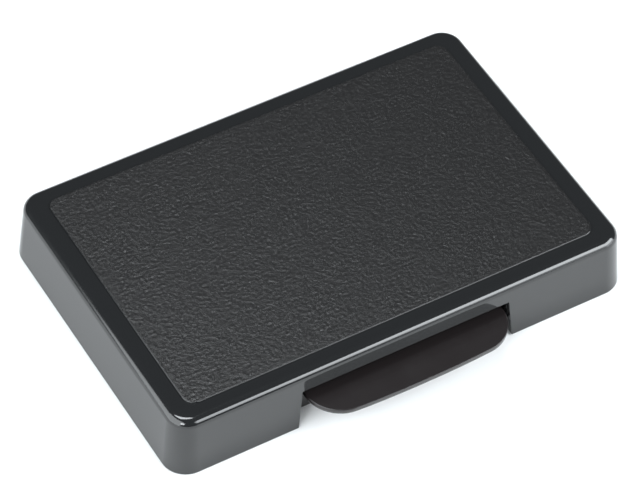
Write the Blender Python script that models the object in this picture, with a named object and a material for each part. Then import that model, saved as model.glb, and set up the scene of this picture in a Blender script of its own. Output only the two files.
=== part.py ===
"""Ink pad cartridge of a self-inking stamp, closed with its lift-off protective cover.

Metres, +Z up. The origin is the centre of the cover's footprint, on the surface that the
cartridge lies on. +X runs along the cartridge and -Y points to the finger tab.
"""

import bmesh
import bpy
from mathutils import Matrix

MM = 0.001
GAP = 0.3 * MM  # left between neighbouring pieces
CORNER_SEGMENTS = 8
SMOOTH_BELOW = 0.6  # radians: edges sharper than this stay sharp

# Protective cover, measured over its outside
COVER_LENGTH = 72.0 * MM
COVER_WIDTH = 48.0 * MM
COVER_CORNER = 3.6 * MM
COVER_SKIRT_BOTTOM = 0.1 * MM
COVER_TOP = 9.9 * MM
COVER_LEAN = 0.8 * MM  # how far each wall leans in from the table to the top
COVER_WALL = 1.2 * MM
COVER_EDGE_RADIUS = 1.25 * MM

# Grained field, raised in the middle of the cover's top
FIELD_LENGTH = 64.1 * MM
FIELD_WIDTH = 40.8 * MM
FIELD_CORNER = 1.7 * MM
FIELD_RISE = 0.18 * MM

# Notch in the front skirt, which the finger tab passes through
NOTCH_TOP_WIDTH = 32.5 * MM
NOTCH_BOTTOM_WIDTH = 33.9 * MM
NOTCH_HEIGHT = 6.85 * MM

# Ribs inside the cover, which centre it on the frame and seat it on the tray's rim
RIB_WIDTH = 1.0 * MM
RIB_ENDS_Y = (-9.0 * MM, 9.0 * MM)
RIB_BACK_X = (-24.0 * MM, 0.0, 24.0 * MM)
RIB_FRONT_X = (-24.0 * MM, 24.0 * MM)

# Tray
TRAY_LENGTH = 64.6 * MM
TRAY_WIDTH = 42.4 * MM
TRAY_CORNER = 2.6 * MM
TRAY_WALL = 1.1 * MM
TRAY_FLOOR = 1.0 * MM
TRAY_FOOT_CHAMFER = 0.4 * MM

# Rim of the tray: its short ends are the rails that slide into the stamp
RIM_LENGTH = 67.8 * MM
RIM_WIDTH = 43.6 * MM
RIM_CORNER = 3.0 * MM
RIM_TOP = 5.5 * MM
RIM_THICKNESS = 1.0 * MM
DETENT_RADIUS = 1.4 * MM
DETENT_DEPTH = 0.6 * MM
DETENT_Y = 11.0 * MM

# Finger tab, one moulding with the rim
TAB_WIDTH = 31.2 * MM
TAB_REACH = 28.9 * MM  # from the centre line to where its two front edges would meet
TAB_BOW = 0.9 * MM
TAB_CORNER = 5.0 * MM
TAB_RIB_X = (-8.0 * MM, 8.0 * MM)
TAB_RIB_WIDTH = 1.0 * MM
TAB_RIB_REACH = 4.0 * MM

# Retaining frame on the tray's rim
FRAME_TOP = 7.4 * MM
FRAME_LIP = 0.6 * MM
FRAME_CHAMFER = 0.3 * MM
WINDOW_LENGTH = 60.4 * MM
WINDOW_WIDTH = 38.2 * MM
WINDOW_CORNER = 1.0 * MM
PEG_RADIUS = 0.5 * MM
PEG_X = 32.7 * MM
PEG_Y = 15.0 * MM
PEG_LENGTH = 1.2 * MM
LUG_RADIUS = 1.0 * MM  # the frame's small ears, which carry the pegs
LUG_THICKNESS = 0.7 * MM

# Ink-holding stack
FELT_THICKNESS = 3.6 * MM
FOAM_BORDER = 0.7 * MM
FOAM_THICKNESS = 1.7 * MM
CLOTH_THICKNESS = 0.3 * MM

CAVITY_LENGTH = TRAY_LENGTH - 2 * TRAY_WALL
CAVITY_WIDTH = TRAY_WIDTH - 2 * TRAY_WALL
CAVITY_CORNER = TRAY_CORNER - TRAY_WALL
STACK_LENGTH = CAVITY_LENGTH - 2 * GAP
STACK_WIDTH = CAVITY_WIDTH - 2 * GAP
STACK_CORNER = CAVITY_CORNER - GAP
FELT_BOTTOM = TRAY_FLOOR + GAP
FOAM_BOTTOM = FELT_BOTTOM + FELT_THICKNESS + GAP
CLOTH_BORDER_BOTTOM = FOAM_BOTTOM + FOAM_BORDER + GAP
CLOTH_TOP = FOAM_BOTTOM + FOAM_THICKNESS + GAP + CLOTH_THICKNESS
FRAME_BOTTOM = RIM_TOP + GAP
PAD_LENGTH = WINDOW_LENGTH - 2 * GAP
PAD_WIDTH = WINDOW_WIDTH - 2 * GAP
SLOPE = COVER_LEAN / COVER_TOP


def clear_scene():
    for item in list(bpy.data.objects):
        bpy.data.objects.remove(item)


def plastic(name, colour, roughness):
    made = bpy.data.materials.new(name)
    made.use_nodes = True
    shader = made.node_tree.nodes["Principled BSDF"]
    shader.inputs["Base Color"].default_value = (*colour, 1.0)
    shader.inputs["Roughness"].default_value = roughness
    shader.inputs["Metallic"].default_value = 0.0
    return made


def rectangle(length, width, radius):
    """Corners (x, y, radius) of a centred rectangle, anticlockwise."""
    signs = ((-1, -1), (1, -1), (1, 1), (-1, 1))
    return [(x * length / 2, y * width / 2, radius) for x, y in signs]


def rounded_face(bm, corners, height):
    """A flat face with each corner rounded to its own radius; returns its edges."""
    before = set(bm.edges)
    points = [bm.verts.new((x, y, height)) for x, y, _ in corners]
    bm.faces.new(points)
    for point, (_, _, radius) in zip(points, corners):
        bmesh.ops.bevel(
            bm,
            geom=[point],
            offset=radius,
            offset_type="OFFSET",
            segments=CORNER_SEGMENTS,
            profile=0.5,
            material=-1,
            affect="VERTICES",
        )
    return [edge for edge in bm.edges if edge not in before]


def block(lower, upper, bottom, top):
    """Closed block between a lower and an upper outline with the same number of corners."""
    bm = bmesh.new()
    lower_edges = rounded_face(bm, lower, bottom)
    upper_edges = rounded_face(bm, upper, top)
    bmesh.ops.bridge_loops(bm, edges=lower_edges + upper_edges)
    bmesh.ops.recalc_face_normals(bm, faces=bm.faces[:])
    return bm


def straight_block(outline, bottom, top):
    return block(outline, outline, bottom, top)


def boxes(spans):
    """One mesh of separate boxes, each given by its lowest and its highest corner."""
    bm = bmesh.new()
    for low, high in spans:
        size = [b - a for a, b in zip(low, high)]
        middle = [(a + b) / 2 for a, b in zip(low, high)]
        place = Matrix.Translation(middle) @ Matrix.Diagonal((*size, 1.0))
        bmesh.ops.create_cube(bm, size=1.0, matrix=place)
    return bm


def posts(centres, radius, bottom, top, segments=12):
    """One mesh of separate upright round posts."""
    bm = bmesh.new()
    for x, y in centres:
        bmesh.ops.create_cone(
            bm,
            cap_ends=True,
            segments=segments,
            radius1=radius,
            radius2=radius,
            depth=top - bottom,
            matrix=Matrix.Translation((x, y, (bottom + top) / 2)),
        )
    return bm


def bevel_edges(bm, chosen, width, segments):
    bmesh.ops.bevel(
        bm,
        geom=chosen,
        offset=width,
        offset_type="OFFSET",
        segments=segments,
        profile=0.5,
        material=-1,
        affect="EDGES",
    )


def level_edges(bm, height):
    """The edges that lie flat at this height."""
    near = 0.001 * MM
    return [e for e in bm.edges if all(abs(v.co.z - height) < near for v in e.verts)]


def group(name):
    """An empty that carries the pieces which move together."""
    made = bpy.data.objects.new(name, None)
    bpy.context.scene.collection.objects.link(made)
    return made


def add_object(name, bm, parent):
    mesh = bpy.data.meshes.new(name)
    bm.to_mesh(mesh)
    bm.free()
    made = bpy.data.objects.new(name, mesh)
    bpy.context.scene.collection.objects.link(made)
    made.parent = parent
    return made


def piece(name, bm, material, parent):
    made = add_object(name, bm, parent)
    made.data.materials.append(material)
    made.data.shade_smooth()
    made.data.set_sharp_from_angle(angle=SMOOTH_BELOW)
    return made


def combine(target, name, bm, operation):
    """Cuts a helper shape from the target (DIFFERENCE) or adds it to the target (UNION)."""
    helper = add_object(name, bm, target)
    helper.hide_render = True
    helper.display_type = "WIRE"
    step = target.modifiers.new(name, "BOOLEAN")
    step.operation = operation
    step.solver = "EXACT"
    step.object = helper


def inner_wall(half_outside, height):
    """Distance from the centre to the cover's drafted inner wall at a height."""
    return half_outside - COVER_WALL - SLOPE * height


def cover_shell():
    lean = SLOPE * (COVER_TOP - COVER_SKIRT_BOTTOM)
    foot = 2 * SLOPE * COVER_SKIRT_BOTTOM
    length = COVER_LENGTH - foot
    width = COVER_WIDTH - foot
    lower = rectangle(length, width, COVER_CORNER)
    upper = rectangle(length - 2 * lean, width - 2 * lean, COVER_CORNER - lean / 2)
    bm = block(lower, upper, COVER_SKIRT_BOTTOM, COVER_TOP)
    bevel_edges(bm, level_edges(bm, COVER_TOP), COVER_EDGE_RADIUS, 4)
    return bm


def cover_hollow():
    bottom = -1.0 * MM
    ceiling = COVER_TOP - COVER_WALL
    outlines = []
    for height in (bottom, ceiling):
        length = 2 * inner_wall(COVER_LENGTH / 2, height)
        width = 2 * inner_wall(COVER_WIDTH / 2, height)
        outlines.append(rectangle(length, width, COVER_CORNER - COVER_WALL))
    return block(*outlines, bottom, ceiling)


def notch_cutter():
    """A drafted prism, wider at its open bottom, through the front skirt only."""
    outer = -COVER_WIDTH / 2 - 2 * MM
    inner = -COVER_WIDTH / 2 + 3 * MM
    bm = boxes([((-0.5, outer, 0.0), (0.5, inner, NOTCH_HEIGHT))])
    for vert in bm.verts:
        vert.co.x *= NOTCH_TOP_WIDTH if vert.co.z > 0 else NOTCH_BOTTOM_WIDTH
    return bm


def cover_ribs():
    """Ribs that run up the walls to the ceiling and end just above the tray's rim."""
    bottom = RIM_TOP + GAP
    top = COVER_TOP - COVER_WALL / 2
    half = RIB_WIDTH / 2
    root_x = inner_wall(COVER_LENGTH / 2, top) + COVER_WALL / 2
    root_y = inner_wall(COVER_WIDTH / 2, top) + COVER_WALL / 2
    tip_x = TRAY_LENGTH / 2 + GAP
    tip_y = TRAY_WIDTH / 2 + GAP
    spans = []
    for y in RIB_ENDS_Y:
        spans.append(((tip_x, y - half, bottom), (root_x, y + half, top)))
        spans.append(((-root_x, y - half, bottom), (-tip_x, y + half, top)))
    for x in RIB_BACK_X:
        spans.append(((x - half, tip_y, bottom), (x + half, root_y, top)))
    for x in RIB_FRONT_X:
        spans.append(((x - half, -root_y, bottom), (x + half, -tip_y, top)))
    return boxes(spans)


def grained_field():
    outline = rectangle(FIELD_LENGTH, FIELD_WIDTH, FIELD_CORNER)
    return straight_block(outline, COVER_TOP - FIELD_RISE, COVER_TOP + FIELD_RISE)


def protective_cover(parent):
    gloss = plastic("cover_gloss_black", (0.035, 0.036, 0.038), 0.12)
    cover = piece("protective_cover", cover_shell(), gloss, parent)
    combine(cover, "cover_hollow", cover_hollow(), "DIFFERENCE")
    combine(cover, "cover_notch", notch_cutter(), "DIFFERENCE")
    combine(cover, "cover_ribs", cover_ribs(), "UNION")
    combine(cover, "cover_field", grained_field(), "UNION")


def rim_outline():
    """Rim and finger tab in one outline; the tab's front edge is slightly bowed."""
    half_tab = TAB_WIDTH / 2
    front = -RIM_WIDTH / 2
    inner_radius = 0.4 * MM
    bow_radius = 9.0 * MM
    back_left, back_right = rectangle(RIM_LENGTH, RIM_WIDTH, RIM_CORNER)[2:]
    return [
        (-RIM_LENGTH / 2, front, RIM_CORNER),
        (-half_tab, front, inner_radius),
        (-half_tab, -TAB_REACH + TAB_BOW, TAB_CORNER),
        (0.0, -TAB_REACH, bow_radius),
        (half_tab, -TAB_REACH + TAB_BOW, TAB_CORNER),
        (half_tab, front, inner_radius),
        (RIM_LENGTH / 2, front, RIM_CORNER),
        back_left,
        back_right,
    ]


def tray_box():
    outline = rectangle(TRAY_LENGTH, TRAY_WIDTH, TRAY_CORNER)
    bm = straight_block(outline, 0.0, RIM_TOP - RIM_THICKNESS / 2)
    bevel_edges(bm, level_edges(bm, 0.0), TRAY_FOOT_CHAMFER, 1)
    return bm


def tray_cavity():
    outline = rectangle(CAVITY_LENGTH, CAVITY_WIDTH, CAVITY_CORNER)
    return straight_block(outline, TRAY_FLOOR, RIM_TOP + MM)


def peg_centres():
    return [(x, y) for x in (-PEG_X, PEG_X) for y in (-PEG_Y, PEG_Y)]


def detents():
    """Round nicks in the two rails, which hold the cartridge in the stamp."""
    reach = RIM_LENGTH / 2 + DETENT_RADIUS - DETENT_DEPTH
    centres = [(-reach, DETENT_Y), (reach, DETENT_Y)]
    return posts(centres, DETENT_RADIUS, RIM_TOP - 3 * RIM_THICKNESS, RIM_TOP + MM)


def tab_ribs():
    """Ribs under the tab, from the tray's wall outwards."""
    half = TAB_RIB_WIDTH / 2
    wall = -TRAY_WIDTH / 2
    spans = []
    for x in TAB_RIB_X:
        low = (x - half, wall - TAB_RIB_REACH, RIM_TOP - 2.2 * RIM_THICKNESS)
        high = (x + half, wall + TRAY_WALL / 2, RIM_TOP - RIM_THICKNESS / 2)
        spans.append((low, high))
    return boxes(spans)


def ink_tray(parent):
    satin = plastic("tray_satin_black", (0.024, 0.022, 0.021), 0.42)
    tray = piece("ink_tray", tray_box(), satin, parent)
    rim = straight_block(rim_outline(), RIM_TOP - RIM_THICKNESS, RIM_TOP)
    combine(tray, "tray_rim", rim, "UNION")
    combine(tray, "tray_tab_ribs", tab_ribs(), "UNION")
    combine(tray, "tray_cavity", tray_cavity(), "DIFFERENCE")
    holes = posts(peg_centres(), PEG_RADIUS + GAP, RIM_TOP - 1.5 * RIM_THICKNESS, RIM_TOP + MM)
    combine(tray, "tray_peg_holes", holes, "DIFFERENCE")
    combine(tray, "tray_detents", detents(), "DIFFERENCE")


def reservoir_felt(parent):
    felt = plastic("ink_soaked_felt", (0.012, 0.010, 0.018), 0.95)
    outline = rectangle(STACK_LENGTH, STACK_WIDTH, STACK_CORNER)
    slab = straight_block(outline, FELT_BOTTOM, FELT_BOTTOM + FELT_THICKNESS)
    piece("reservoir_felt", slab, felt, parent)


def surface_foam(parent):
    """Pressed thin under the frame's lip, and standing up inside the window."""
    foam = plastic("ink_soaked_foam", (0.014, 0.012, 0.020), 0.9)
    border = rectangle(STACK_LENGTH, STACK_WIDTH, STACK_CORNER)
    sheet = straight_block(border, FOAM_BOTTOM, FOAM_BOTTOM + FOAM_BORDER)
    layer = piece("surface_foam", sheet, foam, parent)
    inset = 2 * (CLOTH_THICKNESS + GAP)
    middle = rectangle(PAD_LENGTH - inset, PAD_WIDTH - inset, STACK_CORNER / 2)
    raised = straight_block(middle, FOAM_BOTTOM + FOAM_BORDER / 2, FOAM_BOTTOM + FOAM_THICKNESS)
    combine(layer, "foam_raised", raised, "UNION")


def pad_cloth(parent):
    """Follows the foam: a flat border under the frame's lip and a crown inside the window."""
    weave = plastic("ink_soaked_cloth", (0.010, 0.009, 0.016), 0.8)
    border = rectangle(STACK_LENGTH, STACK_WIDTH, STACK_CORNER)
    border_top = CLOTH_BORDER_BOTTOM + CLOTH_THICKNESS
    sheet = straight_block(border, CLOTH_BORDER_BOTTOM, border_top)
    cloth = piece("pad_cloth", sheet, weave, parent)
    outside = rectangle(PAD_LENGTH, PAD_WIDTH, STACK_CORNER * 0.75)
    crown = straight_block(outside, CLOTH_BORDER_BOTTOM + CLOTH_THICKNESS / 2, CLOTH_TOP)
    combine(cloth, "cloth_crown", crown, "UNION")
    inset = 2 * CLOTH_THICKNESS
    inside = rectangle(PAD_LENGTH - inset, PAD_WIDTH - inset, STACK_CORNER / 2)
    hollow = straight_block(inside, CLOTH_BORDER_BOTTOM - MM, CLOTH_TOP - CLOTH_THICKNESS)
    combine(cloth, "cloth_hollow", hollow, "DIFFERENCE")


def retaining_frame(parent):
    satin = plastic("frame_satin_black", (0.020, 0.020, 0.021), 0.5)
    outline = rectangle(TRAY_LENGTH, TRAY_WIDTH, TRAY_CORNER)
    ring = straight_block(outline, FRAME_BOTTOM, FRAME_TOP)
    bevel_edges(ring, level_edges(ring, FRAME_TOP), FRAME_CHAMFER, 1)
    frame = piece("retaining_frame", ring, satin, parent)
    rebate = rectangle(CAVITY_LENGTH, CAVITY_WIDTH, CAVITY_CORNER)
    under = straight_block(rebate, FRAME_BOTTOM - MM, FRAME_TOP - FRAME_LIP)
    combine(frame, "frame_rebate", under, "DIFFERENCE")
    window = rectangle(WINDOW_LENGTH, WINDOW_WIDTH, WINDOW_CORNER)
    opening = straight_block(window, FRAME_BOTTOM - 2 * MM, FRAME_TOP + MM)
    combine(frame, "frame_window", opening, "DIFFERENCE")
    lug_top = FRAME_BOTTOM + LUG_THICKNESS
    combine(frame, "frame_lugs", posts(peg_centres(), LUG_RADIUS, FRAME_BOTTOM, lug_top), "UNION")
    pegs = posts(peg_centres(), PEG_RADIUS, FRAME_BOTTOM - PEG_LENGTH, lug_top - LUG_THICKNESS / 2)
    combine(frame, "frame_pegs", pegs, "UNION")


clear_scene()
cartridge = group("cartridge")
ink_tray(cartridge)
reservoir_felt(cartridge)
surface_foam(cartridge)
pad_cloth(cartridge)
retaining_frame(cartridge)
protective_cover(group("cover_lift"))
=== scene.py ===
"""Looks of a self-inking stamp's ink pad cartridge, closed with its protective cover.

Everything is in metres, in the CAD's frame: +X along the cartridge, -Y towards the finger tab.
"""

import sys

import math

import bmesh
import bpy
from mathutils import Matrix, Quaternion, Vector, noise


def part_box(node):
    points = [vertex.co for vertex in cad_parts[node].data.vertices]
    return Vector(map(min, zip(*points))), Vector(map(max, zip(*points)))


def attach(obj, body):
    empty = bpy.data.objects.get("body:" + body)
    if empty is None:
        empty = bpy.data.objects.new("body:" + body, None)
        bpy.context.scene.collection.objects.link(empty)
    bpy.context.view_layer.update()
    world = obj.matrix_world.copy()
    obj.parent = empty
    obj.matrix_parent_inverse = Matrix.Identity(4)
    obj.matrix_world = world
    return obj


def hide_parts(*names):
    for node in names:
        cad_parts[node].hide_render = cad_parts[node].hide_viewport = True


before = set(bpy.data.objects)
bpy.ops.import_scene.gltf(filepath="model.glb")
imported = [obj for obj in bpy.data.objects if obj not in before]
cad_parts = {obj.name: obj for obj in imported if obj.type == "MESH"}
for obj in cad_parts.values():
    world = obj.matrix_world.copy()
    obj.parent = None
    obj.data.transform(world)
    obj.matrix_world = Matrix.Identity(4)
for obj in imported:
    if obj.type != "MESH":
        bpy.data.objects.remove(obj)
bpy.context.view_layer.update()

# ---------------------------------------------------------------------------------------------
# Camera: a long lens from the front left, held a little askew, looking down on the closed
# cartridge. It aims a little behind the cartridge's middle, which leaves room under the tab.
MM = 0.001
CAMERA_AZIMUTH = math.radians(-32.42)
CAMERA_HEIGHT = math.radians(49.48)
CAMERA_DISTANCE = 510.6 * MM
CAMERA_AIM = Vector((1.417, 2.084, 2.153)) * MM
CAMERA_ROLL = math.radians(2.93)
CAMERA_LENS = 205.3
CAMERA_SENSOR = 36.0
CAMERA_CLIP = (0.02, 20.0)

back = Vector((
    math.sin(CAMERA_AZIMUTH) * math.cos(CAMERA_HEIGHT),
    -math.cos(CAMERA_AZIMUTH) * math.cos(CAMERA_HEIGHT),
    math.sin(CAMERA_HEIGHT),
))
camera = bpy.data.objects.new("camera", bpy.data.cameras.new("camera"))
bpy.context.scene.collection.objects.link(camera)
bpy.context.scene.camera = camera
camera.data.lens = CAMERA_LENS
camera.data.sensor_width = CAMERA_SENSOR
camera.data.clip_start, camera.data.clip_end = CAMERA_CLIP
camera.location = back * CAMERA_DISTANCE
camera.rotation_mode = "QUATERNION"
level_camera = (CAMERA_AIM - camera.location).to_track_quat("-Z", "Y")
camera.rotation_quaternion = level_camera @ Quaternion((0, 0, 1), CAMERA_ROLL)

# ---------------------------------------------------------------------------------------------
# Protective cover: one injection moulding in glossy black polystyrene. Its walls lean in so
# that it leaves the mould, its top edge is rounded, and the middle of its top is a raised field
# with a spark-eroded grain. It drops over the tray until its inner ribs meet the rim.
cover_low, cover_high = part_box("protective_cover")
COVER_TOP = 9.9 * MM
SKIRT_BOTTOM = cover_low.z
SLOPE = 0.8 * MM / COVER_TOP  # how far a wall leans in for each metre of height
LEAN = math.atan(SLOPE)
FOOT_X = cover_high.x + SLOPE * SKIRT_BOTTOM
FOOT_Y = cover_high.y + SLOPE * SKIRT_BOTTOM
COVER_CORNER = 3.6 * MM
CORNER_LOSS = 0.4 * MM / COVER_TOP  # how much tighter a corner gets for each metre of height
LEAST_CORNER = 0.05 * MM
COVER_WALL = 1.2 * MM
TOP_EDGE_RADIUS = 1.25 * MM
TOP_EDGE_STEPS = 10
CEILING_RADIUS = 0.5 * MM
CEILING_STEPS = 4
MOULD_EDGE = 0.08 * MM
CORNER_STEPS = 12
SHARP = math.radians(30)  # an edge that turns more than this is rounded
CREASE = math.radians(50)  # an edge that turns more than this is shaded as a crease
POLYSTYRENE_IOR = 1.57

FIELD_HALF_X = 32.05 * MM
FIELD_HALF_Y = 20.4 * MM
FIELD_CORNER = 1.7 * MM
FIELD_RISE = 0.18 * MM
FIELD_EDGE = 0.11 * MM
FIELD_EDGE_STEPS = 5
GRAIN_CELL = 0.18 * MM
GRAIN_PITCH = 0.36 * MM
GRAIN_FINE_PITCH = 0.55 * GRAIN_PITCH
GRAIN_FINE_SHARE = 0.6
GRAIN_FINE_SLICE = 9.0 * MM  # where the fine grain is read from the noise
GRAIN_DEPTH = 0.035 * MM
GRAIN_FADE = 0.35 * MM

NOTCH_HEIGHT = 6.85 * MM
NOTCH_TOP_HALF = 16.25 * MM
NOTCH_BOTTOM_HALF = 16.95 * MM
NOTCH_CORNER = 0.15 * MM
NOTCH_CUT_OUTWARD = 2.0 * MM
NOTCH_CUT_INWARD = 3.0 * MM
CUT_PAST = 1.0 * MM  # how far a cutter runs past the surface that it opens

RIB_HALF = 0.5 * MM
RIB_BOTTOM = 5.8 * MM
RIB_GAP = 0.3 * MM
RIB_EDGE = 0.1 * MM
RIB_END_Y = (-9.0 * MM, 9.0 * MM)
RIB_BACK_X = (-24.0 * MM, 0.0, 24.0 * MM)
RIB_FRONT_X = (-24.0 * MM, 24.0 * MM)
TRAY_HALF_X = 32.3 * MM  # the box of the tray, and the frame on it


class Ring:
    """A level rounded rectangle: its half sizes, its corner radius and its height."""

    def __init__(self, half_x, half_y, corner, z):
        self.half_x = half_x
        self.half_y = half_y
        self.corner = corner
        self.z = z

    def inset(self, distance, z=None):
        """The ring that lies this far inside, at this height or at another one."""
        corner = max(self.corner - distance, LEAST_CORNER)
        height = self.z if z is None else z
        return Ring(self.half_x - distance, self.half_y - distance, corner, height)


def ring_layers(bm):
    """What each vert keeps: its place along the outline, its outward direction and its depth."""
    names = ("side_x", "side_y", "turn", "depth")
    for name in names:
        if name not in bm.verts.layers.float:
            bm.verts.layers.float.new(name)
    return [bm.verts.layers.float[name] for name in names]


def set_on_ring(bm, verts, ring):
    """Moves verts onto the ring, each to its own place along the outline."""
    side_x, side_y, turn, _ = ring_layers(bm)
    for vert in verts:
        across = vert[side_x] * (ring.half_x - ring.corner)
        along = vert[side_y] * (ring.half_y - ring.corner)
        vert.co.x = across + ring.corner * math.cos(vert[turn])
        vert.co.y = along + ring.corner * math.sin(vert[turn])
        vert.co.z = ring.z


def start_loop(bm, ring, steps):
    """A closed loop of edges on the ring, with this many steps round each corner."""
    side_x, side_y, turn, _ = ring_layers(bm)
    made = bmesh.ops.create_circle(bm, segments=4 * (steps + 1), radius=1.0)
    for number, vert in enumerate(made["verts"]):
        quarter, step = divmod(number, steps + 1)
        vert[turn] = math.pi / 2 * (quarter + step / steps)
        vert[side_x] = (1, -1, -1, 1)[quarter]
        vert[side_y] = (1, 1, -1, -1)[quarter]
    set_on_ring(bm, made["verts"], ring)
    return list(bm.edges)


def loft(bm, edges, rings):
    """Extrudes a loop of edges through the rings and returns the last loop's edges."""
    for ring in rings:
        grown = bmesh.ops.extrude_edge_only(bm, edges=edges)["geom"]
        edges = [item for item in grown if isinstance(item, bmesh.types.BMEdge)]
        edges = [edge for edge in edges if not edge.link_faces[1:]]
        verts = [item for item in grown if isinstance(item, bmesh.types.BMVert)]
        set_on_ring(bm, verts, ring)
    return edges


def solid(rings, steps=CORNER_STEPS):
    """A closed body through the rings, with a flat face on the first and on the last."""
    bm = bmesh.new()
    first = start_loop(bm, rings[0], steps)
    last = loft(bm, first, rings[1:])
    for edges in (first, last):
        bmesh.ops.contextual_create(bm, geom=edges)
    bmesh.ops.recalc_face_normals(bm, faces=bm.faces)
    return bm


def add_box(bm, low, high):
    """Adds a box between its lowest and its highest corner."""
    size = [b - a for a, b in zip(low, high)]
    middle = [(a + b) / 2 for a, b in zip(low, high)]
    place = Matrix.Translation(middle) @ Matrix.Diagonal((*size, 1.0))
    bmesh.ops.create_cube(bm, size=1.0, matrix=place)


def soften(bm, radius, segments=2, chosen=None):
    """Rounds the sharp edges, as the mould's own edges are."""
    if chosen is None:
        chosen = [e for e in bm.edges if e.is_manifold and e.calc_face_angle() > SHARP]
    bmesh.ops.bevel(
        bm,
        geom=chosen,
        offset=radius,
        offset_type="OFFSET",
        segments=segments,
        profile=0.5,
        material=-1,
        affect="EDGES",
        clamp_overlap=True,
    )


def boolean(bm, other, operation):
    """The body after another one is cut from it (DIFFERENCE) or added to it (UNION)."""
    helpers = []
    for source in (bm, other):
        mesh = bpy.data.meshes.new("helper")
        source.to_mesh(mesh)
        source.free()
        helpers.append(bpy.data.objects.new("helper", mesh))
        bpy.context.scene.collection.objects.link(helpers[-1])
    step = helpers[0].modifiers.new("step", "BOOLEAN")
    step.operation = operation
    step.solver = "EXACT"
    step.object = helpers[1]
    shown = helpers[0].evaluated_get(bpy.context.evaluated_depsgraph_get())
    result = bmesh.new()
    result.from_mesh(shown.to_mesh())
    for helper in helpers:
        bpy.data.meshes.remove(helper.data)
    return result


def finished(name, bm, *materials):
    """Turns a mesh into a smooth-shaded object whose flat faces stay flat."""
    bmesh.ops.recalc_face_normals(bm, faces=bm.faces)
    mesh = bpy.data.meshes.new(name)
    bm.to_mesh(mesh)
    bm.free()
    mesh.shade_smooth()
    mesh.set_sharp_from_angle(angle=CREASE)
    for material in materials:
        mesh.materials.append(material)
    made = bpy.data.objects.new(name, mesh)
    bpy.context.scene.collection.objects.link(made)
    weighted = made.modifiers.new("flat faces stay flat", "WEIGHTED_NORMAL")
    weighted.mode = "FACE_AREA"
    weighted.keep_sharp = True
    return made


class Value:
    """A shader socket that arithmetic works on: each operation adds its Math node."""

    def __init__(self, finish, socket):
        self.finish = finish
        self.socket = socket

    def maths(self, operation, *others):
        inputs = dict(enumerate((self, *others)))
        return self.finish.node("ShaderNodeMath", {"operation": operation}, inputs)

    def __add__(self, other):
        return self.maths("ADD", other)

    def __mul__(self, other):
        return self.maths("MULTIPLY", other)

    __radd__ = __add__
    __rmul__ = __mul__


class Finish:
    """A material on one Principled shader, and the one method that makes its other nodes."""

    def __init__(self, name, ior=1.5):
        self.material = bpy.data.materials.new(name)
        self.material.use_nodes = True
        self.tree = self.material.node_tree
        self.shader = self.tree.nodes["Principled BSDF"]
        self.set("IOR", ior)
        self.place = self.node("ShaderNodeTexCoord", {}, {}, "Object")

    def node(self, kind, settings, inputs, output=0):
        """Adds a node, sets its settings and inputs, and returns one of its outputs."""
        made = self.tree.nodes.new(kind)
        for name, value in settings.items():
            setattr(made, name, value)
        for name, value in inputs.items():
            self.join(value, made.inputs[name])
        return Value(self, made.outputs[output])

    def join(self, value, socket):
        if isinstance(value, Value):
            self.tree.links.new(value.socket, socket)
        else:
            socket.default_value = value

    def set(self, name, value):
        """Gives one of the shader's sockets a constant or a link."""
        self.join(value, self.shader.inputs[name])

    def noise(self, size, detail=2.0, roughness=0.5, stretch=None):
        """Noise whose blobs are about this many metres across."""
        place = self.place
        if stretch is not None:
            place = self.node("ShaderNodeMapping", {}, {"Vector": place, "Scale": stretch})
        inputs = {"Vector": place, "Scale": 1 / size, "Detail": detail, "Roughness": roughness}
        return self.node("ShaderNodeTexNoise", {}, inputs, "Fac")

    def blend(self, amount, first, second):
        """A colour between two colours."""
        inputs = {0: amount, 6: (*first, 1.0), 7: (*second, 1.0)}
        return self.node("ShaderNodeMix", {"data_type": "RGBA"}, inputs, 2)

    def bump(self, height, depth):
        """Relief of this many metres where height goes from 0 to 1."""
        inputs = {"Height": height, "Distance": depth, "Strength": 1.0}
        return self.node("ShaderNodeBump", {}, inputs)


def wall(z, thickness=0.0):
    """The cover's drafted wall at a height, or its inner side."""
    half_x = FOOT_X - SLOPE * z - thickness
    half_y = FOOT_Y - SLOPE * z - thickness
    return Ring(half_x, half_y, COVER_CORNER - CORNER_LOSS * z - thickness, z)


def rounded_top(top, radius, steps, thickness=0.0):
    """Rings from the wall, round its top edge, onto the level top."""
    centre_z = top - radius
    base = wall(centre_z, thickness)
    rings = []
    for step in range(steps + 1):
        angle = LEAN + (math.pi / 2 - LEAN) * step / steps
        inward = radius / math.cos(LEAN) - radius * math.cos(angle)
        rings.append(base.inset(inward, centre_z + radius * math.sin(angle)))
    return rings


def cover_shell():
    """The shell with a flat closed top, its skirt open below."""
    outside = rounded_top(COVER_TOP, TOP_EDGE_RADIUS, TOP_EDGE_STEPS)
    ceiling = COVER_TOP - COVER_WALL
    inside = rounded_top(ceiling, CEILING_RADIUS, CEILING_STEPS, COVER_WALL)
    skirt = [wall(SKIRT_BOTTOM), wall(SKIRT_BOTTOM, COVER_WALL)]
    return solid(outside[::-1] + skirt + inside)


def notch():
    """A prism through the front skirt, wider at its open bottom."""
    bm = bmesh.new()
    low = (-NOTCH_TOP_HALF, -FOOT_Y - NOTCH_CUT_OUTWARD, -CUT_PAST)
    high = (NOTCH_TOP_HALF, -FOOT_Y + NOTCH_CUT_INWARD, NOTCH_HEIGHT)
    add_box(bm, low, high)
    widening = NOTCH_BOTTOM_HALF / NOTCH_TOP_HALF - 1
    for vert in bm.verts:
        vert.co.x *= 1 + widening * (1 - vert.co.z / NOTCH_HEIGHT)
    top_corners = [e for e in bm.edges if all(v.co.z > 0 for v in e.verts)]
    top_corners = [e for e in top_corners if abs(e.verts[0].co.x - e.verts[1].co.x) < MM]
    soften(bm, NOTCH_CORNER, 3, top_corners)
    return bm


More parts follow.
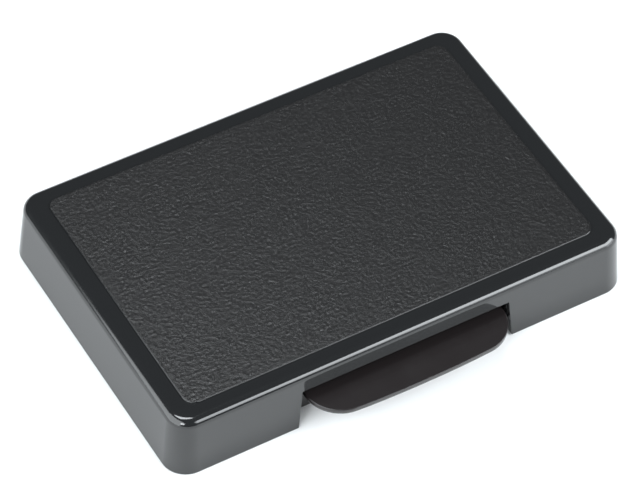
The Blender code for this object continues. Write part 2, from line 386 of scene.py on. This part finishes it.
def ribs():
    """Seating ribs down the inner walls, which end just above the tray's rim."""
    bm = bmesh.new()
    top = COVER_TOP - COVER_WALL / 2
    root = wall(top, COVER_WALL / 2)
    tip_x = TRAY_HALF_X + RIB_GAP
    tip_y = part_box("retaining_frame")[1].y + RIB_GAP
    for y in RIB_END_Y:
        for side in (-1, 1):
            x = sorted((side * tip_x, side * root.half_x))
            add_box(bm, (x[0], y - RIB_HALF, RIB_BOTTOM), (x[1], y + RIB_HALF, top))
    for x, side in [(x, 1) for x in RIB_BACK_X] + [(x, -1) for x in RIB_FRONT_X]:
        y = sorted((side * tip_y, side * root.half_y))
        add_box(bm, (x - RIB_HALF, y[0], RIB_BOTTOM), (x + RIB_HALF, y[1], top))
    soften(bm, RIB_EDGE)
    return bm


def grain(x, y):
    """Height of the spark-eroded grain, about -1 to 1."""
    coarse = noise.noise(Vector((x, y, 0.0)) / GRAIN_PITCH)
    fine = noise.noise(Vector((x, y, GRAIN_FINE_SLICE)) / GRAIN_FINE_PITCH)
    return coarse + GRAIN_FINE_SHARE * fine


def add_grid(bm, ring, cell):
    """A fine level grid that fills the ring; its verts know how far inside the border they are."""
    side_x, side_y, turn, depth = ring_layers(bm)
    columns = round(2 * ring.half_x / cell)
    rows = round(2 * ring.half_y / cell)
    made = bmesh.ops.create_grid(bm, x_segments=columns, y_segments=rows, size=1.0)
    core_x = ring.half_x - ring.corner
    core_y = ring.half_y - ring.corner
    for vert in made["verts"]:
        x = abs(vert.co.x) * ring.half_x
        y = abs(vert.co.y) * ring.half_y
        sign_x = math.copysign(1.0, vert.co.x)
        sign_y = math.copysign(1.0, vert.co.y)
        over_x = max(x - core_x, 0.0)
        over_y = max(y - core_y, 0.0)
        reach = max(over_x, over_y)
        angle = math.pi / 2
        if over_x >= over_y:
            angle = math.pi / 4 * over_y / max(over_x, sys.float_info.min)
        else:
            angle -= math.pi / 4 * over_x / over_y
        vert[side_x] = sign_x * min(x / core_x, 1.0)
        vert[side_y] = sign_y * min(y / core_y, 1.0)
        vert[turn] = math.atan2(sign_y * math.sin(angle), sign_x * math.cos(angle))
        vert[depth] = min(ring.half_x - x, ring.half_y - y)
        vert.co.x = vert[side_x] * core_x + reach * math.cos(vert[turn])
        vert.co.y = vert[side_y] * core_y + reach * math.sin(vert[turn])
        vert.co.z = ring.z
    return made["verts"], depth


def border_edges(verts):
    return list({e for v in verts if v.is_boundary for e in v.link_edges if e.is_boundary})


def smooth_rise(distance, start, end):
    """0 before start, 1 after end, and a smooth rise in between."""
    share = min(max((distance - start) / (end - start), 0.0), 1.0)
    return share * share * (3 - 2 * share)


cover = boolean(cover_shell(), notch(), "DIFFERENCE")
soften(cover, MOULD_EDGE)
cover = boolean(cover, ribs(), "UNION")
cover_lid = max(cover.faces, key=lambda face: face.calc_center_median().z + face.calc_area())
rim_of_lid = list(cover_lid.edges)
bmesh.ops.delete(cover, geom=[cover_lid], context="FACES_ONLY")
field_foot = Ring(FIELD_HALF_X, FIELD_HALF_Y, FIELD_CORNER, COVER_TOP)
field_top = field_foot.inset(FIELD_EDGE, COVER_TOP + FIELD_RISE)
field, depth = add_grid(cover, field_top, GRAIN_CELL)
for vert in field:
    relief = smooth_rise(vert[depth], 0.0, GRAIN_FADE) * grain(vert.co.x, vert.co.y)
    vert.co.z += GRAIN_DEPTH * relief
field_side = []
for step in range(FIELD_EDGE_STEPS):
    angle = math.pi / 2 * (step + 1) / FIELD_EDGE_STEPS
    outward = FIELD_EDGE * math.sin(angle)
    drop = FIELD_EDGE * (1 - math.cos(angle))
    field_side.append(field_top.inset(-outward, field_top.z - drop))
field_edges = loft(cover, border_edges(field), field_side + [field_foot])
for face in {face for vert in field for face in vert.link_faces}:
    face.material_index = 1
bmesh.ops.triangle_fill(cover, use_beauty=True, edges=field_edges + rim_of_lid)

gloss = Finish("cover_gloss_black", POLYSTYRENE_IOR)
gloss.set("Base Color", (0.0085, 0.009, 0.0095, 1.0))
gloss.set("Roughness", 0.07 + 0.05 * gloss.noise(9 * MM, 4.0))
gloss.set("Normal", gloss.bump(gloss.noise(6 * MM, 2.0), 0.004 * MM))

grained = Finish("cover_grained_black", POLYSTYRENE_IOR)
grained.set("Base Color", (0.0075, 0.0072, 0.0073, 1.0))
grained.set("Roughness", 0.22 + 0.08 * grained.noise(0.3 * MM, 3.0))
grained.set("Normal", grained.bump(grained.noise(0.16 * MM, 2.0), 0.035 * MM))

protective_cover = finished("cover_moulding", cover, gloss.material, grained.material)
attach(protective_cover, "cover")
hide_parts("protective_cover")

# ---------------------------------------------------------------------------------------------
# Ink tray: one satin black moulding. A shallow box holds the felt, and its rim carries the two
# guide rails at the short ends and the finger tab in front, stiffened from below by two ribs.
RIM_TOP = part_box("ink_tray")[1].z
RIM_THICKNESS = 1.0 * MM
RIM_UPPER_EDGE = 0.08 * MM
RIM_LOWER_EDGE = 0.75 * MM
RIM_CORNER = 3.0 * MM
TAB_HALF = 15.6 * MM
TAB_REACH = 28.9 * MM
TAB_BOW = 0.9 * MM
TAB_CORNER = 5.0 * MM
TAB_ROOT = 0.4 * MM
TAB_BOW_CORNER = 9.0 * MM
TAB_RIB_X = (-8.0 * MM, 8.0 * MM)
TAB_RIB_HALF = 0.5 * MM
TAB_RIB_REACH = 4.0 * MM
TAB_RIB_BOTTOM = RIM_TOP - 2.2 * RIM_THICKNESS
TAB_RIB_EDGE = 0.2 * MM
TRAY_HALF_Y = 21.2 * MM
TRAY_CORNER = 2.6 * MM
TRAY_WALL = 1.1 * MM
TRAY_FLOOR = 1.0 * MM
FOOT_RADIUS = 0.4 * MM
FOOT_STEPS = 4
CAVITY_STEPS = 3
PEG_X = 32.7 * MM
PEG_Y = 15.0 * MM
HOLE_RADIUS = 0.8 * MM
HOLE_BOTTOM = RIM_TOP - 1.5 * RIM_THICKNESS
DETENT_RADIUS = 1.4 * MM
DETENT_DEPTH = 0.6 * MM
DETENT_Y = 11.0 * MM
EJECTOR_X = (-24.0 * MM, 0.0, 24.0 * MM)
EJECTOR_Y = (-14.0 * MM, 14.0 * MM)
EJECTOR_RADIUS = 1.5 * MM
EJECTOR_DEPTH = 0.08 * MM
EJECTOR_STEPS = 40


def rim_plate():
    """Rim, rails and finger tab in one plate with rounded edges."""
    bm = bmesh.new()
    rim_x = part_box("ink_tray")[1].x
    rim_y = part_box("ink_tray")[1].y
    half_outline = [
        (0.0, -TAB_REACH, TAB_BOW_CORNER),
        (TAB_HALF, -TAB_REACH + TAB_BOW, TAB_CORNER),
        (TAB_HALF, -rim_y, TAB_ROOT),
        (rim_x, -rim_y, RIM_CORNER),
        (rim_x, rim_y, RIM_CORNER),
    ]
    other_half = [(-x, y, radius) for x, y, radius in half_outline[:0:-1]]
    outline = half_outline + other_half
    points = [bm.verts.new((x, y, RIM_TOP - RIM_THICKNESS)) for x, y, _ in outline]
    bm.faces.new(points)
    for point, (_, _, radius) in zip(points, outline):
        bmesh.ops.bevel(
            bm,
            geom=[point],
            offset=radius,
            offset_type="OFFSET",
            segments=CORNER_STEPS,
            profile=0.5,
            material=-1,
            affect="VERTICES",
        )
    grown = bmesh.ops.extrude_face_region(bm, geom=bm.faces[:])["geom"]
    top = [item for item in grown if isinstance(item, bmesh.types.BMVert)]
    bmesh.ops.translate(bm, verts=top, vec=(0, 0, RIM_THICKNESS))
    bmesh.ops.recalc_face_normals(bm, faces=bm.faces)
    middle = RIM_TOP - RIM_THICKNESS / 2
    soften(bm, RIM_UPPER_EDGE, 2, [e for e in bm.edges if all(v.co.z > middle for v in e.verts)])
    soften(bm, RIM_LOWER_EDGE, 3, [e for e in bm.edges if all(v.co.z < middle for v in e.verts)])
    return bm


def posts(centres, radius, bottom, top, segments=32):
    """Separate upright round posts in one mesh."""
    bm = bmesh.new()
    for x, y in centres:
        bmesh.ops.create_cone(
            bm,
            cap_ends=True,
            segments=segments,
            radius1=radius,
            radius2=radius,
            depth=top - bottom,
            matrix=Matrix.Translation((x, y, (bottom + top) / 2)),
        )
    return bm


def rounded_foot(outer, radius, steps):
    """Rings from the level underside, round the foot, to the upright wall."""
    rings = []
    for step in range(steps + 1):
        angle = math.pi / 2 * step / steps
        height = outer.z + radius * (1 - math.cos(angle))
        rings.append(outer.inset(radius * (1 - math.sin(angle)), height))
    return rings


tray_outline = Ring(TRAY_HALF_X, TRAY_HALF_Y, TRAY_CORNER, 0.0)
tray_top = tray_outline.inset(0, RIM_TOP - RIM_THICKNESS / 2)
tray = solid(rounded_foot(tray_outline, FOOT_RADIUS, FOOT_STEPS) + [tray_top])
tray = boolean(tray, rim_plate(), "UNION")
tab_ribs = bmesh.new()
for x in TAB_RIB_X:
    low = (x - TAB_RIB_HALF, -TRAY_HALF_Y - TAB_RIB_REACH, TAB_RIB_BOTTOM)
    high = (x + TAB_RIB_HALF, -TRAY_HALF_Y + TRAY_WALL / 2, RIM_TOP - RIM_THICKNESS / 2)
    add_box(tab_ribs, low, high)
soften(tab_ribs, TAB_RIB_EDGE)
tray = boolean(tray, tab_ribs, "UNION")
cavity_top = tray_outline.inset(TRAY_WALL, RIM_TOP + CUT_PAST)
cavity_floor = tray_outline.inset(TRAY_WALL, TRAY_FLOOR)
cavity = solid(rounded_foot(cavity_floor, FOOT_RADIUS, CAVITY_STEPS) + [cavity_top])
tray = boolean(tray, cavity, "DIFFERENCE")
peg_places = [(x, y) for x in (-PEG_X, PEG_X) for y in (-PEG_Y, PEG_Y)]
holes = posts(peg_places, HOLE_RADIUS, HOLE_BOTTOM, RIM_TOP + CUT_PAST)
tray = boolean(tray, holes, "DIFFERENCE")
nick_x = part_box("ink_tray")[1].x + DETENT_RADIUS - DETENT_DEPTH
nick_places = [(-nick_x, DETENT_Y), (nick_x, DETENT_Y)]
nicks = posts(nick_places, DETENT_RADIUS, RIM_THICKNESS, RIM_TOP + CUT_PAST)
tray = boolean(tray, nicks, "DIFFERENCE")
ejector_places = [(x, y) for x in EJECTOR_X for y in EJECTOR_Y]
marks = posts(ejector_places, EJECTOR_RADIUS, -CUT_PAST, EJECTOR_DEPTH, EJECTOR_STEPS)
tray = boolean(tray, marks, "DIFFERENCE")

satin = Finish("tray_satin_black")
satin.set("Base Color", (0.0112, 0.0092, 0.0094, 1.0))
satin.set("Roughness", 0.14 + 0.1 * satin.noise(4 * MM, 4.0))
satin.set("Normal", satin.bump(satin.noise(0.12 * MM, 3.0), 0.002 * MM))

ink_tray = finished("tray_moulding", tray, satin.material)
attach(ink_tray, "tray")
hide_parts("ink_tray")

# ---------------------------------------------------------------------------------------------
# Ink-holding stack: a block of wool felt soaked with ink fills the tray, and a sheet of
# open-cell foam lies on it. Frame and tray squeeze the foam's border, so its middle stands up.
felt_low, felt_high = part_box("reservoir_felt")
FELT_CELL = 0.5 * MM
FELT_EDGE = 0.35 * MM
FELT_FLUFF = 0.05 * MM
FELT_TUFT = 0.9 * MM
FINE_TUFT = 0.4  # the fine relief's size, as a share of the coarse one's
FINE_TUFT_SHARE = 0.35
FINE_TUFT_SLICE = Vector((5.0, 3.0, 1.0))
foam_low, foam_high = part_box("surface_foam")
FOAM_CELL = 0.35 * MM
FOAM_BORDER = 0.7 * MM
FOAM_EDGE = FOAM_BORDER / 3
FOAM_PORE = 0.6 * MM
FOAM_BUBBLE = 0.35 * MM
FOAM_ROUGHNESS = 0.05 * MM
LIP_REACH = 1.0 * MM  # how far the frame's lip overlaps the stack's border
FOAM_RISE = (1.2 * LIP_REACH, 2.2 * LIP_REACH)  # where the foam rises beside the lip
STACK_CORNER = 1.2 * MM
SLAB_EDGE_STEPS = 4


def tufted(place, size):
    """Uneven fibre or pore relief, 0 to 1."""
    coarse = noise.noise(place / size)
    fine = noise.noise(place / (FINE_TUFT * size) + FINE_TUFT_SLICE)
    return min(max(0.5 + 0.5 * coarse + FINE_TUFT_SHARE * fine, 0.0), 1.0)


def soft_slab(low, high, cell, edge, height_at):
    """A pad with a level underside, rounded edges and a top that height_at shapes."""
    bm = bmesh.new()
    outline = Ring(high.x, high.y, STACK_CORNER, high.z)
    verts, depth = add_grid(bm, outline.inset(edge), cell)
    top = max(height_at(0.0, Vector()), low.z + edge)
    for vert in verts:
        vert.co.z = height_at(vert[depth], vert.co)
    sides = []
    for step in range(1, SLAB_EDGE_STEPS + 1):
        angle = math.pi / 2 * step / SLAB_EDGE_STEPS
        outward = edge * math.sin(angle)
        sides.append(outline.inset(edge - outward, top - edge * (1 - math.cos(angle))))
    sides.append(outline.inset(0.0, low.z + edge / 2))
    sides.append(outline.inset(edge / 2, low.z))
    last = loft(bm, border_edges(verts), sides)
    bmesh.ops.contextual_create(bm, geom=last)
    return bm


def felt_height(depth, place):
    """A level top with fluff, which fades out at the edge."""
    fluff = FELT_FLUFF * (1 - tufted(place, FELT_TUFT))
    return felt_high.z - fluff * smooth_rise(depth, 0.0, FELT_CELL)


def foam_height(depth, place):
    """A squeezed border, a rise beside the lip, and a level middle with pores."""
    border_top = foam_low.z + FOAM_BORDER
    raised = (foam_high.z - border_top) * smooth_rise(depth, *FOAM_RISE)
    pores = FOAM_ROUGHNESS * (1 - tufted(place, FOAM_PORE)) * smooth_rise(depth, 0, FOAM_CELL)
    return border_top + raised - pores


wool = Finish("ink_soaked_felt")
fibres = wool.noise(0.25 * MM, 4.0, 0.6, (1.0, 1.0, 3.0))
ink_in_felt = wool.blend(wool.noise(3 * MM), (0.008, 0.007, 0.013), (0.018, 0.016, 0.026))
wool.set("Base Color", ink_in_felt)
wool.set("Roughness", 0.75 + 0.25 * fibres)
wool.set("Normal", wool.bump(fibres, 0.05 * MM))

felt_mesh = soft_slab(felt_low, felt_high, FELT_CELL, FELT_EDGE, felt_height)
felt_block = finished("felt_block", felt_mesh, wool.material)
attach(felt_block, "tray")
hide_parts("reservoir_felt")

sponge = Finish("ink_soaked_foam")
cell_inputs = {"Vector": sponge.place, "Scale": 1 / FOAM_BUBBLE}
pore_relief_and_painted_shade = sponge.node("ShaderNodeTexVoronoi", {}, cell_inputs)
# The colour follows the pore relief: darker in the sunken pores, which is painted shade.
sponge.set("Base Color", sponge.blend(pore_relief_and_painted_shade, (0.006, 0.005, 0.010), (0.020, 0.018, 0.028)))
sponge.set("Roughness", 0.65 + 0.3 * pore_relief_and_painted_shade)
sponge.set("Normal", sponge.bump(pore_relief_and_painted_shade, 0.06 * MM))

foam_mesh = soft_slab(foam_low, foam_high, FOAM_CELL, FOAM_EDGE, foam_height)
foam_sheet = finished("foam_sheet", foam_mesh, sponge.material)
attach(foam_sheet, "tray")
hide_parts("surface_foam")

# ---------------------------------------------------------------------------------------------
# Pad cloth: a fine plain-weave cloth, damp with ink, drawn tight over the foam. Its border is
# clamped under the frame's lip, and its middle stands up through the frame's window.
cloth_low, cloth_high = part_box("pad_cloth")
CLOTH_THICKNESS = 0.28 * MM
CLOTH_CELL = 0.3 * MM
CLOTH_RISE = (0.85 * LIP_REACH, 1.75 * LIP_REACH)  # where it rises beside the lip
CLOTH_CROWN = 0.12 * MM  # how much lower the cloth is at the window's edge than in its middle
CLOTH_CROWN_WIDTH = (LIP_REACH, 12 * LIP_REACH)
THREAD_PITCH = 0.45 * MM
THREAD_TURN = 2 * math.pi / THREAD_PITCH
THREAD_RELIEF = 0.02 * MM
FOLD_PITCH = 1.6 * MM
FOLD_DEPTH = 0.06 * MM
FOLD_FADE = (1.6 * LIP_REACH, 4 * LIP_REACH)


def cloth_height(depth, place):
    """Border, steep rise beside the lip with small folds, and a slightly crowned middle."""
    border_top = cloth_low.z + CLOTH_THICKNESS
    rise = smooth_rise(depth, *CLOTH_RISE)
    crown = CLOTH_CROWN * (1 - smooth_rise(depth, *CLOTH_CROWN_WIDTH))
    top = cloth_high.z - THREAD_RELIEF - crown
    folds = FOLD_DEPTH * rise * (1 - smooth_rise(depth, *FOLD_FADE))
    folds *= 0.5 + 0.5 * noise.noise(place / FOLD_PITCH)
    return border_top + (top - border_top) * rise - folds


cloth_mesh = bmesh.new()
cloth_ring = Ring(cloth_high.x, cloth_high.y, STACK_CORNER, cloth_high.z)
cloth_verts, depth = add_grid(cloth_mesh, cloth_ring, CLOTH_CELL)
for vert in cloth_verts:
    thread = math.cos(vert.co.x * THREAD_TURN) * math.cos(vert.co.y * THREAD_TURN)
    vert.co.z = cloth_height(vert[depth], vert.co) + THREAD_RELIEF * thread

weave = Finish("ink_soaked_cloth")
weave.set("Sheen Weight", 0.15)
weave.set("Sheen Roughness", 0.5)
along = weave.node("ShaderNodeSeparateXYZ", {}, {"Vector": weave.place}, "X")
across = weave.node("ShaderNodeSeparateXYZ", {}, {"Vector": weave.place}, "Y")
warp = (along * THREAD_TURN).maths("COSINE")
weft = (across * THREAD_TURN).maths("COSINE")
thread_relief_and_painted_shade = 0.5 + 0.5 * warp * weft
damp = weave.noise(7 * MM, 3.0)
# The colour follows the thread relief: darker in the low gaps between threads, which is painted
# shade.
weave.set("Base Color", weave.blend(thread_relief_and_painted_shade, (0.004, 0.004, 0.008), (0.016, 0.014, 0.024)))
weave.set("Roughness", 0.4 + 0.35 * damp + 0.15 * thread_relief_and_painted_shade)
weave.set("Normal", weave.bump(thread_relief_and_painted_shade + 0.3 * weave.noise(0.1 * MM, 3.0), 0.04 * MM))

ink_cloth = finished("ink_cloth", cloth_mesh, weave.material)
cloth_wall = ink_cloth.modifiers.new("thickness", "SOLIDIFY")
cloth_wall.thickness = CLOTH_THICKNESS
cloth_wall.offset = -1.0
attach(ink_cloth, "tray")
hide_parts("pad_cloth")

# ---------------------------------------------------------------------------------------------
# Retaining frame: a satin black moulding whose lip clamps the cloth and the foam. Four small
# ears beside it carry pegs, which are pressed into holes in the tray's rim.
frame_low, frame_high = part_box("retaining_frame")
FRAME_GAP = 0.3 * MM
FRAME_FOOT = RIM_TOP + FRAME_GAP
FRAME_LIP = 0.6 * MM
FRAME_EDGE = 0.3 * MM
FRAME_EDGE_STEPS = 4
WINDOW_HALF_X = 30.2 * MM
WINDOW_HALF_Y = 19.1 * MM
WINDOW_CORNER = 1.0 * MM
PEG_RADIUS = 0.5 * MM
EAR_RADIUS = 1.0 * MM
EAR_THICKNESS = 0.7 * MM
PEG_EDGE = 0.12 * MM


def frame_ring():
    """The frame's L-shaped section, carried once round the window."""
    outer = Ring(TRAY_HALF_X, TRAY_HALF_Y, TRAY_CORNER, FRAME_FOOT)
    window = Ring(WINDOW_HALF_X, WINDOW_HALF_Y, WINDOW_CORNER, frame_high.z)
    rings = [outer]
    for step in range(FRAME_EDGE_STEPS + 1):
        angle = math.pi / 2 * step / FRAME_EDGE_STEPS
        height = frame_high.z - FRAME_EDGE * (1 - math.sin(angle))
        rings.append(outer.inset(FRAME_EDGE * (1 - math.cos(angle)), height))
    for step in range(FRAME_EDGE_STEPS + 1):
        angle = math.pi / 2 * step / FRAME_EDGE_STEPS
        height = frame_high.z - FRAME_EDGE * (1 - math.cos(angle))
        rings.append(window.inset(-FRAME_EDGE * (1 - math.sin(angle)), height))
    rings.append(window.inset(0.0, frame_high.z - FRAME_LIP))
    rings.append(outer.inset(TRAY_WALL, frame_high.z - FRAME_LIP))
    rings.append(outer.inset(TRAY_WALL, FRAME_FOOT))
    bm = bmesh.new()
    first = start_loop(bm, rings[0], CORNER_STEPS)
    last = loft(bm, first, rings[1:])
    bmesh.ops.bridge_loops(bm, edges=first + last)
    bmesh.ops.recalc_face_normals(bm, faces=bm.faces)
    return bm


frame_mesh = frame_ring()
ears = posts(peg_places, EAR_RADIUS, FRAME_FOOT, FRAME_FOOT + EAR_THICKNESS)
soften(ears, PEG_EDGE)
frame_mesh = boolean(frame_mesh, ears, "UNION")
pegs = posts(peg_places, PEG_RADIUS, frame_low.z, FRAME_FOOT + EAR_THICKNESS / 2)
soften(pegs, PEG_EDGE)
frame_mesh = boolean(frame_mesh, pegs, "UNION")

frame_satin = Finish("frame_satin_black")
frame_satin.set("Base Color", (0.014, 0.014, 0.015, 1.0))
frame_satin.set("Roughness", 0.36 + 0.14 * frame_satin.noise(3 * MM, 4.0))
frame_satin.set("Normal", frame_satin.bump(frame_satin.noise(0.12 * MM, 3.0), 0.002 * MM))

frame_moulding = finished("frame_moulding", frame_mesh, frame_satin.material)
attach(frame_moulding, "tray")
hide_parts("retaining_frame")

# ---------------------------------------------------------------------------------------------
# Floor and light: a white paper floor, which the glossy walls mirror, and five soft boxes. A wide
# one and a low one stand in front on the right and fade towards their left ends, one hangs
# overhead, a large one stands on the left, and a narrow one lights the near corner.
FLOOR_HALF = 2.0
FLOOR_DROP = 0.02 * MM
STUDIO_WHITE = (0.93, 0.975, 1.0)
SKY = (0.9, 0.95, 1.0, 1.0)
SKY_STRENGTH = 0.15
FADE_START = 0.05
FADE_END = 0.35

paper = Finish("white_paper")
paper.set("Base Color", paper.blend(paper.noise(0.2), (0.79, 0.79, 0.79), (0.81, 0.81, 0.81)))
paper.set("Roughness", 0.6)
floor_mesh = bmesh.new()
bmesh.ops.create_grid(floor_mesh, x_segments=1, y_segments=1, size=FLOOR_HALF)
bmesh.ops.translate(floor_mesh, verts=floor_mesh.verts, vec=(0, 0, -FLOOR_DROP))
floor = finished("floor", floor_mesh, paper.material)


def soft_box(name, direction, distance, width, height, radiance, fade=None):
    """A rectangle of light that faces the cartridge; fade is its left end's share of the light."""
    light = bpy.data.lights.new(name, "AREA")
    light.shape = "RECTANGLE"
    light.size = width
    light.size_y = height
    light.energy = radiance * math.pi * width * height
    light.color = STUDIO_WHITE
    box = bpy.data.objects.new(name, light)
    bpy.context.scene.collection.objects.link(box)
    box.location = Vector(direction).normalized() * distance
    box.rotation_mode = "QUATERNION"
    box.rotation_quaternion = box.location.to_track_quat("Z", "Y")
    if fade is not None:
        light.use_nodes = True
        nodes = light.node_tree.nodes
        links = light.node_tree.links
        place = nodes.new("ShaderNodeNewGeometry")
        split = nodes.new("ShaderNodeSeparateXYZ")
        rise = nodes.new("ShaderNodeMapRange")
        rise.inputs["From Min"].default_value = FADE_START
        rise.inputs["From Max"].default_value = FADE_END
        rise.inputs["To Min"].default_value = fade
        links.new(place.outputs["Parametric"], split.inputs["Vector"])
        links.new(split.outputs["X"], rise.inputs["Value"])
        links.new(rise.outputs["Result"], nodes["Emission"].inputs["Strength"])


soft_box("main_soft_box", (0.54, -0.60, 0.57), 0.9, width=0.94, height=0.42, radiance=11.0, fade=0.5)
soft_box("low_soft_box", (0.66, -0.70, 0.20), 0.9, width=0.92, height=0.3, radiance=4.5, fade=0.0)
soft_box("overhead_soft_box", (0.0, 0.25, 0.96), 1.0, width=0.44, height=0.3, radiance=12.0)
soft_box("left_soft_box", (-0.9, 0.0, 0.42), 0.9, width=1.2, height=1.2, radiance=4.4)
soft_box("corner_soft_box", (-0.64, -0.56, 0.50), 1.0, width=0.26, height=0.3, radiance=12.0)

world = bpy.data.worlds.new("studio")
bpy.context.scene.world = world
world.use_nodes = True
world.node_tree.nodes["Background"].inputs["Color"].default_value = SKY
world.node_tree.nodes["Background"].inputs["Strength"].default_value = SKY_STRENGTH
bpy.context.scene.view_settings.view_transform = "Standard"
